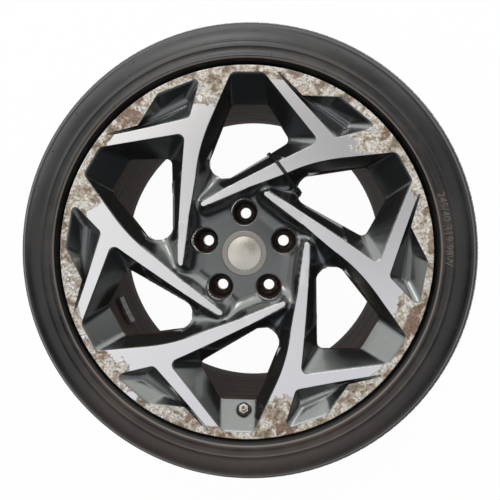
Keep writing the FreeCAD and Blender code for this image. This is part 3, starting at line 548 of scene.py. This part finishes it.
class WHEEL_OT_blend(bpy.types.Operator):
    """Sweep the lacquer from hub to spokes in one soft curve, with round window corners and strip ends"""
    bl_idname = "wheel.blend"
    bl_label = "Hub blend"

    # Grid step, and steps from the axis to its edge
    STEP = 1.25 * MM
    COUNT = 134
    # The skin lies between the cap's edge and OUTER, and leaves the bolt pockets open
    CAP_EDGE = 0.0365
    OUTER = 146.0 * MM
    POCKET = 18.3 * MM
    # Ring of the hub that gives its level, and the radius where windows begin
    HUB_RING = (0.038, 0.042)
    WINDOW_R = 0.08
    # Power of the hollow curve, and its end below the turned face
    HOLLOW = 2.2
    BELOW_FACE = 1.2 * MM
    # Roll-over at a window's edge, and the wall under it
    ROLL = 8.0 * MM
    ROLL_REACH = 0.011
    WALL = 18.0 * MM
    # Cover over the rim where both would lie in one plane
    COVER = 0.1 * MM
    SINK = 0.6 * MM
    SOFTENINGS = 6
    # Inner end of a turned strip: from FOOT to END along the blade, its straight side BASE away from the axis
    FOOT = 34.0 * MM
    END = -25.0 * MM
    BASE = 83.2 * MM
    WIDTH = 12.9 * MM
    MARGIN = 1.3
    TIP_STEPS = 12
    PLATE_LIFT = 0.12 * MM
    PLATE = 1.5 * MM

    def execute(self, context):
        sizes = context.scene.wheel_sizes
        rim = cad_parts["alloy_rim"]
        line = np.arange(-self.COUNT, self.COUNT + 1) * self.STEP
        x, y = np.meshgrid(line, line)
        radius = np.hypot(x, y)
        top, bright = self.survey(rim, x, y)
        face = LIP_Z - (FLANGE_R - radius) * FACE_SLOPE
        level = np.nanmedian(top[(radius > self.HUB_RING[0]) & (radius < self.HUB_RING[1])])

        # Bright strips with round ends, and windows with round corners
        tip = sizes.tip_radius
        strip = bright.copy()
        for number in range(SPOKES):
            turn = math.radians(BLADE_LEAN + 360 / SPOKES * number)
            along = x * math.cos(turn) + y * math.sin(turn)
            across = y * math.cos(turn) - x * math.sin(turn)
            clear = abs(across - self.BASE) > self.MARGIN * self.WIDTH
            strip &= (along < self.MARGIN * self.END) | (along > self.FOOT) | clear
            share = np.clip((along - self.END) / (self.FOOT - self.END), 0, 1)
            upper = self.BASE + 2 * tip + share * (self.WIDTH - 2 * tip)
            strip |= (along > self.END) & (along < self.FOOT) & (across > self.BASE) & (across < upper)
            strip |= np.hypot(along - self.END, across - self.BASE - tip) < tip
            plate = self.tongue(turn, tip)
            new_piece(f"strip_end_{number + 1}", plate, "alloy", rim.data.materials[1])
        window = np.isnan(top) & (radius > self.WINDOW_R)
        core = window & (self.away(x, y, ~window) > sizes.corner_radius)
        to_core = self.away(x, y, core)
        opened = window & (to_core <= sizes.corner_radius)
        filled = window & ~opened

        # Height: a hollow curve from the hub's level to just under the strips, rolled over at the windows
        near = np.clip(1 - self.away(x, y, strip) / sizes.blend_reach, 0, 1)
        height = level + (face - self.BELOW_FACE - level) * near ** self.HOLLOW
        to_window = self.away(x, y, opened)
        height -= self.ROLL * np.clip(1 - to_window / self.ROLL_REACH, 0, 1) ** 2
        metal = ~np.isnan(top)
        height[metal] = np.maximum(height, top + self.COVER)[metal]
        keep = (metal | filled) & (radius < self.OUTER) & (radius > self.CAP_EDGE)
        # The edge of each bolt pocket is drawn in to a true circle
        walled = filled.copy()
        for bearing in BOLTS:
            side = x - BOLT_CIRCLE * math.cos(bearing)
            rise = y - BOLT_CIRCLE * math.sin(bearing)
            apart = np.hypot(side, rise)
            keep &= apart > self.POCKET
            edge = (apart > self.POCKET) & (apart < self.POCKET + 1.5 * self.STEP)
            pull = np.where(edge & (apart < self.POCKET + 1.1 * self.STEP), self.POCKET / apart - 1, 0)
            x = x + side * pull
            y = y + rise * pull
            walled |= edge
        hidden = ~strip & (self.away(x, y, bright & ~strip) < 1.2 * self.STEP)
        height = np.where(hidden, np.maximum(height, face + self.COVER), height)
        for _ in range(self.SOFTENINGS):
            height = np.where(keep, np.maximum(height, self.softened(height, keep)), height)
        height = np.where(strip, face - self.SINK, height)
        skin = self.skin(x, y, height, keep, walled)
        new_piece("hub_blend", skin, "alloy", rim.data.materials[0])
        return {"FINISHED"}

    def tongue(self, turn, tip):
        """Thin plate over the inner end of one turned strip, with a round tip"""
        outline = [(self.FOOT, self.BASE + self.WIDTH)]
        for step in range(self.TIP_STEPS + 1):
            angle = math.radians(90 + 180 * step / self.TIP_STEPS)
            outline.append((self.END + tip * math.cos(angle), self.BASE + tip + tip * math.sin(angle)))
        outline.append((self.FOOT, self.BASE))
        shape = bmesh.new()
        ring = []
        for along, across in outline:
            level = LIP_Z - (FLANGE_R - math.hypot(along, across)) * FACE_SLOPE
            ring.append(shape.verts.new((along, across, level + self.PLATE_LIFT)))
        lower = bmesh.ops.extrude_face_region(shape, geom=[shape.faces.new(ring)])["geom"]
        moved = [part for part in lower if isinstance(part, bmesh.types.BMVert)]
        bmesh.ops.translate(shape, verts=moved, vec=(0, 0, -self.PLATE))
        bmesh.ops.rotate(shape, verts=shape.verts, matrix=Matrix.Rotation(turn, 3, "Z"))
        bmesh.ops.recalc_face_normals(shape, faces=shape.faces)
        return shape

    @staticmethod
    def survey(rim, x, y):
        """Height of the rim seen from the front, and whether its turned face is there"""
        corners = [vert.co for vert in rim.data.vertices]
        tree = BVHTree.FromPolygons(corners, [face.vertices for face in rim.data.polygons])
        top = np.full(x.shape, np.nan)
        bright = np.zeros(x.shape, bool)
        for spot in np.ndindex(x.shape):
            hit, _, number, _ = tree.ray_cast(Vector((x[spot], y[spot], 1.0)), Vector((0, 0, -1)))
            if hit is not None:
                top[spot] = hit.z
                bright[spot] = rim.data.polygons[number].material_index == 1
        return top, bright

    @staticmethod
    def away(x, y, region):
        """Distance of every grid point from a region"""
        spots = np.argwhere(region)
        tree = KDTree(len(spots))
        for number, (j, i) in enumerate(spots):
            tree.insert((x[j, i], y[j, i], 0.0), number)
        tree.balance()
        found = [tree.find((a, b, 0.0))[2] for a, b in zip(x.flat, y.flat)]
        return np.array(found).reshape(x.shape)

    @staticmethod
    def softened(height, keep):
        """Mean of each point and its neighbours inside the kept region"""
        total = np.zeros(height.shape)
        weight = np.zeros(height.shape)
        held = np.where(keep, height, 0.0)
        for j in (-2, -1, 0, 1, 2):
            for i in (-2, -1, 0, 1, 2):
                total += np.roll(held, (j, i), (0, 1))
                weight += np.roll(keep, (j, i), (0, 1))
        return total / np.maximum(weight, 1)

    def skin(self, x, y, height, keep, walled):
        """Quads over the kept points; the filled window corners and the pockets get a wall downwards"""
        shape = bmesh.new()
        verts = {}
        for j, i in np.argwhere(keep):
            verts[j, i] = shape.verts.new((x[j, i], y[j, i], height[j, i]))
        corner = {verts[j, i] for j, i in np.argwhere(keep & walled)}
        for j, i in verts:
            ring = [(j, i), (j, i + 1), (j + 1, i + 1), (j + 1, i)]
            if all(spot in verts for spot in ring):
                shape.faces.new([verts[spot] for spot in ring]).smooth = True
        edges = [edge for edge in shape.edges if edge.is_boundary and corner.intersection(edge.verts)]
        rim_line = list({vert for edge in edges for vert in edge.verts})
        for _ in range(3):
            bmesh.ops.smooth_vert(shape, verts=rim_line, factor=0.5, use_axis_x=True, use_axis_y=True)
        lower = bmesh.ops.extrude_edge_only(shape, edges=edges)["geom"]
        wall = [part for part in lower if isinstance(part, bmesh.types.BMVert)]
        bmesh.ops.translate(shape, verts=wall, vec=(0, 0, -self.WALL))
        shape.normal_update()
        return shape


class WHEEL_OT_tyre(bpy.types.Operator):
    """Mould the tyre with its rib, tread grooves, notches, nubs and size code"""
    bl_idname = "wheel.tyre"
    bl_label = "Tyre"

    # Notches: least radius, band from the middle plane, width of their edges
    NOTCH_R = 0.3198
    NOTCH_BAND = (0.0606, 0.1085)
    NOTCH_EDGE = 0.0004
    # The shoulders slant from SLANT_FROM outwards, by SLANT for each SLANT_RUN
    SHOULDER_R = 0.31
    SLANT_FROM = 0.06
    SLANT_RUN = 0.05
    SLANT = math.radians(4.0)
    # Circles of vent nubs, and the thickness of a nub at both ends
    NUB_CIRCLES = (0.2715, 0.2925, 0.3045)
    NUB_ENDS = (0.0006, 0.00035)
    # Size code: bearing of its start, radius of its foot, height of its relief and swelling of its strokes
    CODE_START = math.radians(17.5)
    CODE_FOOT = 0.2735
    CODE_RELIEF = 0.0007
    CODE_SWELL = 0.0002

    def execute(self, context):
        sizes = context.scene.wheel_sizes
        rubber = tyre_rubber(context.scene.wheel_colours)
        shape = spun(self.section(), sizes.tread_steps)
        self.cut_notches(shape, sizes)
        tyre = new_piece("tyre_casing", shape, "tyre_rubber", rubber)
        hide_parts("tyre")
        new_piece("vent_nubs", self.nubs(sizes), "tyre_rubber", rubber)
        # The figures are a lighter rubber than the tyre: a painted highlight standing in for the light on
        # their raised edges
        raised = speckled("highlighted_letter_rubber", "45413D", "625C56", 0.0, 0.5, 600.0)
        new_piece("size_code", self.code(sizes), "tyre_rubber", raised)
        return {"FINISHED"}

    @staticmethod
    def section():
        """Closed section of the casing, from bead to bead and back along the liner"""
        middle = TYRE_MID / MM
        crown = TYRE_R / MM
        half = list(SIDEWALL)
        for groove in GROOVES:
            level = crown - CROWN_DROP * (groove / TREAD_HALF) ** 2
            half += [
                (level - 0.2, groove + GROOVE_HALF + 0.6),
                (level - 0.8, groove + GROOVE_HALF),
                (level - GROOVE_DEPTH, groove + GROOVE_HALF / 2),
                (level - GROOVE_DEPTH, groove - GROOVE_HALF / 2),
                (level - 0.8, groove - GROOVE_HALF),
                (level - 0.2, groove - GROOVE_HALF - 0.6),
            ]
        section = [(radius, middle + away) for radius, away in half]
        section += [(radius, middle - away) for radius, away in reversed(half)]
        section += [(radius, middle - away) for radius, away in LINER]
        section += [(radius, middle + away) for radius, away in reversed(LINER)]
        return section

    def cut_notches(self, shape, sizes):
        """Short cross cuts in both shoulders of the tread"""
        step = 2 * math.pi / sizes.tread_steps
        low, high = self.NOTCH_BAND
        chosen = []
        for face in shape.faces:
            middle = face.calc_center_median()
            radius = math.hypot(middle.x, middle.y)
            away = abs(middle.z - TYRE_MID)
            outward = Vector((middle.x, middle.y, 0)).normalized()
            if radius < self.NOTCH_R or face.normal.dot(outward) < 0.2:
                continue
            count = int(math.atan2(middle.y, middle.x) / step + sizes.tread_steps)
            if low < away < high and count % sizes.notch_pitch == 0:
                chosen.append(face)
        bmesh.ops.inset_region(shape, faces=chosen, thickness=self.NOTCH_EDGE, depth=-sizes.notch_depth,
                               use_boundary=True, use_even_offset=True)
        for vert in shape.verts:
            away = abs(vert.co.z - TYRE_MID)
            if math.hypot(vert.co.x, vert.co.y) > self.SHOULDER_R and away > self.SLANT_FROM:
                turn = self.SLANT * (away - self.SLANT_FROM) / self.SLANT_RUN
                vert.co.rotate(Matrix.Rotation(turn, 3, "Z"))

    def nubs(self, sizes):
        """Thin rubber whiskers where the mould was vented"""
        shape = bmesh.new()
        draw = random.Random(7)
        for _ in range(sizes.vent_count):
            bearing = draw.uniform(0, 2 * math.pi)
            radius = draw.choice(self.NUB_CIRCLES) + draw.uniform(-0.0006, 0.0006)
            foot = Vector((radius * math.cos(bearing), radius * math.sin(bearing), sidewall_height(radius)))
            tip = Vector((draw.uniform(-0.5, 0.5), draw.uniform(-0.5, 0.5), 0.35)).normalized()
            length = sizes.vent_length * draw.uniform(0.5, 1.0)
            turn = tip.to_track_quat("Z", "Y").to_matrix().to_4x4()
            thick, thin = self.NUB_ENDS
            bmesh.ops.create_cone(shape, cap_ends=True, segments=6, radius1=thick, radius2=thin,
                                  depth=length, matrix=Matrix.Translation(foot + tip * length * 0.3) @ turn)
        return shape

    def code(self, sizes):
        """Raised figures of the tyre size, bent round the sidewall at the right"""
        curve = bpy.data.curves.new("size_code_text", "FONT")
        curve.body = sizes.size_code
        curve.size = sizes.code_height
        curve.extrude = self.CODE_RELIEF
        curve.offset = self.CODE_SWELL
        text = put("size_code_text", curve)
        bpy.context.view_layer.update()
        graph = bpy.context.evaluated_depsgraph_get()
        mesh = bpy.data.meshes.new_from_object(text.evaluated_get(graph))
        bpy.data.objects.remove(text)
        shape = bmesh.new()
        shape.from_mesh(mesh)
        bpy.data.meshes.remove(mesh)
        for vert in shape.verts:
            radius = self.CODE_FOOT + vert.co.y
            bearing = self.CODE_START - vert.co.x / self.CODE_FOOT
            height = sidewall_height(radius) + vert.co.z
            vert.co = Vector((radius * math.cos(bearing), radius * math.sin(bearing), height))
        return shape


class WHEEL_OT_cap(bpy.types.Operator):
    """Finish the centre cap"""
    bl_idname = "wheel.cap"
    bl_label = "Centre cap"

    def execute(self, context):
        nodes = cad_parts
        satin = speckled("satin_silver_paint", "8F8A83", "9C978F", 0.85, 0.33, 700.0, 0.0012)
        plate = speckled("worn_chrome_plate", "C4BEB2", "D3CDC2", 1.0, 0.27, 900.0, 0.001)
        wear(nodes["centre_cap"], satin)
        wear(nodes["cap_dome"], plate)
        wear(nodes["cap_spring_ring"], speckled("spring_steel", "6E6E6E", "9A9A9A", 1.0, 0.3, 400.0))
        return {"FINISHED"}


class WHEEL_OT_valve(bpy.types.Operator):
    """Finish the valve and its pressure sensor"""
    bl_idname = "wheel.valve"
    bl_label = "Valve"

    def execute(self, context):
        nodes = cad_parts
        nickel = speckled("nickel_plate", "66625B", "938D84", 1.0, 0.34, 500.0)
        brass = speckled("turned_brass", "463B2C", "6F6049", 1.0, 0.4, 500.0)
        wear(nodes["valve_grommet"], speckled("seal_rubber", "0B0B0B", "1C1B1A", 0.0, 0.55, 500.0, 0.0006))
        wear(nodes["valve_nut"], nickel)
        wear(nodes["valve_stem"], nickel)
        wear(nodes["valve_core"], brass)
        wear(nodes["valve_pin"], brass)
        housing = speckled("glass_filled_nylon", "101010", "262626", 0.0, 0.5, 600.0, 0.001)
        wear(nodes["pressure_sensor"], housing)
        wear(nodes["sensor_screw"], speckled("zinc_plated_steel", "7C7C78", "B4B3AD", 1.0, 0.32, 500.0))
        return {"FINISHED"}


class WHEEL_OT_extras(bpy.types.Operator):
    """Finish the balance weights and the cable tie"""
    bl_idname = "wheel.extras"
    bl_label = "Weights and tie"

    def execute(self, context):
        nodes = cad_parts
        coated = speckled("coated_steel_weight", "3C3833", "6B6760", 0.6, 0.45, 250.0, 0.0008)
        wear(nodes["balance_weights"], coated)
        wear(nodes["weight_tape"], speckled("foam_tape", "2A2826", "4A4744", 0.0, 0.8, 900.0))
        wear(nodes["cable_tie"], speckled("black_nylon", "070707", "1B1B1B", 0.0, 0.36, 700.0, 0.0006))
        return {"FINISHED"}


class WHEEL_OT_stage(bpy.types.Operator):
    """Lay the pale floor and set the soft light and the camera"""
    bl_idname = "wheel.stage"
    bl_label = "Floor, light and camera"

    FLOOR_HALF = 6.0
    FLOOR_GAP = 0.5 * MM
    # Directions in the sky: the dark place above the wheel, and where the daylight comes from
    DARK_WAY = (0.087, 0.156, 0.984)
    DAY_WAY = (-0.25, 0.968, 0.0)
    # Camera: its place, the last value above the lip, and the ways it looks and holds its top
    EYE = (0.04787, 0.02417, 0.62657)
    AHEAD = (-0.0598, -0.0293, -0.9978)
    TOP = (-0.002, 0.9996, -0.029)

    def execute(self, context):
        scene = context.scene
        scene.view_settings.view_transform = "Standard"
        self.floor()
        self.sky(scene)
        self.lamp("key_softbox", (-0.3, 1.25, 1.6), 0.8, 9.0)
        self.camera(scene)
        return {"FINISHED"}

    def floor(self):
        """Floor that shows white and still takes the wheel's shadow"""
        shape = bmesh.new()
        bmesh.ops.create_grid(shape, x_segments=1, y_segments=1, size=self.FLOOR_HALF,
                              matrix=Matrix.Translation((0, 0, TYRE_BACK - self.FLOOR_GAP)))
        made, tree, shader, _ = start_material("white_floor")
        fill(tree, shader, {"Base Color": tint("F2F2F2"), "Roughness": 0.9})
        glow = add(tree, "Emission", {"Strength": 1.0})
        rays = add(tree, "LightPath").outputs
        seen = add(tree, "Math", {0: rays["Is Camera Ray"], 1: rays["Is Glossy Ray"]}, operation="MAXIMUM")
        clear = add(tree, "Math", {0: seen.outputs[0], 1: rays["Is Transmission Ray"]}, operation="MAXIMUM")
        share = add(tree, "Math", {0: clear.outputs[0], 1: 0.97}, operation="MULTIPLY")
        both = add(tree, "MixShader", {0: share.outputs[0], 1: shader.outputs[0], 2: glow.outputs[0]})
        add(tree, "OutputMaterial", {"Surface": both.outputs[0]}, is_active_output=True)
        floor = solid("floor", shape, made)

    def sky(self, scene):
        """Soft patchy ceiling with low daylight from one side"""
        world = bpy.data.worlds.new("studio")
        scene.world = world
        world.use_nodes = True
        tree = world.node_tree
        tree.nodes.clear()
        way = add(tree, "TexCoord").outputs["Generated"]
        up = add(tree, "SeparateXYZ", {0: way}).outputs[2]
        high = add(tree, "MapRange", {
            "Value": up, "From Min": 0.42, "From Max": 0.82, "To Min": 0.03, "To Max": 0.98},
            interpolation_type="SMOOTHSTEP").outputs[0]
        # Something dark stands just behind the camera
        facing = add(tree, "VectorMath", {
            0: way, 1: self.DARK_WAY}, operation="DOT_PRODUCT").outputs["Value"]
        clear = add(tree, "MapRange", {
            "Value": facing, "From Min": 0.974, "From Max": 0.9903, "To Min": 1.0, "To Max": 0.12},
            interpolation_type="SMOOTHSTEP").outputs[0]
        # The ceiling is brighter in broad patches
        uneven = add(tree, "TexNoise", {"Vector": way, "Scale": 3.2, "Detail": 1.0}).outputs["Fac"]
        patchy = add(tree, "MapRange", {
            "Value": uneven, "From Min": 0.35, "From Max": 0.65, "To Min": 0.72, "To Max": 1.25}).outputs[0]
        ceiling = add(tree, "Math", {0: high, 1: patchy}, operation="MULTIPLY").outputs[0]
        above = add(tree, "Math", {0: ceiling, 1: clear}, operation="MULTIPLY").outputs[0]
        # Daylight comes in low from the back and the left
        side = add(tree, "VectorMath", {0: way, 1: self.DAY_WAY}, operation="DOT_PRODUCT").outputs["Value"]
        reach = add(tree, "MapRange", {
            "Value": side, "From Min": 0.05, "From Max": 0.65, "To Max": 1.9},
            interpolation_type="SMOOTHSTEP").outputs[0]
        low = add(tree, "MapRange", {
            "Value": up, "From Min": 0.85, "From Max": 0.55}, interpolation_type="SMOOTHSTEP").outputs[0]
        bright = add(tree, "Math", {0: reach, 1: low, 2: above}, operation="MULTIPLY_ADD").outputs[0]
        share = add(tree, "MapRange", {"Value": side, "From Min": -0.4, "From Max": 0.3}).outputs[0]
        tone = add(tree, "Mix", {
            "Factor": share, "A": tint("E2E6F0"), "B": tint("FDFEFC")}, data_type="RGBA").outputs["Result"]
        lit = add(tree, "VectorMath", {0: tone, "Scale": bright}, operation="SCALE").outputs[0]
        seen = add(tree, "LightPath").outputs["Is Camera Ray"]
        level = add(tree, "Mix", {
            "Factor": seen, "A": lit, "B": tint("FFFFFF")}, data_type="RGBA").outputs["Result"]
        light = add(tree, "Background", {"Color": level})
        add(tree, "OutputWorld", {"Surface": light.outputs[0]})

    @staticmethod
    def lamp(name, place, size, power):
        """Square soft lamp aimed at the wheel"""
        light = bpy.data.lights.new(name, "AREA")
        light.shape = "SQUARE"
        light.size = size
        light.energy = power
        lamp = put(name, light)
        lamp.location = place
        lamp.rotation_euler = (-Vector(place)).to_track_quat("-Z", "Y").to_euler()

    def camera(self, scene):
        """Camera at the photograph's place and angle"""
        eye = bpy.data.cameras.new("camera")
        eye.lens = scene.wheel_sizes.lens
        eye.sensor_width = 36.0
        camera = put("camera", eye)
        ahead = Vector(self.AHEAD).normalized()
        right = ahead.cross(Vector(self.TOP)).normalized()
        turn = Matrix((right, right.cross(ahead), -ahead)).transposed()
        place = Vector((self.EYE[0], self.EYE[1], LIP_Z + self.EYE[2]))
        camera.matrix_world = Matrix.Translation(place) @ turn.to_4x4()
        scene.camera = camera


class WHEEL_PT_panel(bpy.types.Panel):
    """Buttons for the wheel's pieces"""
    bl_idname = "WHEEL_PT_panel"
    bl_label = "Alloy wheel"
    bl_space_type = "VIEW_3D"
    bl_region_type = "UI"
    bl_category = "Wheel"

    def draw(self, context):
        for operator in PIECES:
            self.layout.operator(operator.bl_idname)


PIECES = (
    WHEEL_OT_rim, WHEEL_OT_blend, WHEEL_OT_tyre, WHEEL_OT_cap,
    WHEEL_OT_valve, WHEEL_OT_extras, WHEEL_OT_stage,
)
CLASSES = (WheelSizes, WheelColours, *PIECES, WHEEL_PT_panel)


def register():
    for entry in CLASSES:
        bpy.utils.register_class(entry)
    bpy.types.Scene.wheel_sizes = PointerProperty(type=WheelSizes)
    bpy.types.Scene.wheel_colours = PointerProperty(type=WheelColours)


def unregister():
    del bpy.types.Scene.wheel_colours
    del bpy.types.Scene.wheel_sizes
    for entry in reversed(CLASSES):
        bpy.utils.unregister_class(entry)


def main():
    register()
    bpy.ops.wheel.rim()
    bpy.ops.wheel.blend()
    bpy.ops.wheel.tyre()
    bpy.ops.wheel.cap()
    bpy.ops.wheel.valve()
    bpy.ops.wheel.extras()
    bpy.ops.wheel.stage()


if __name__ == "__main__":
    main()
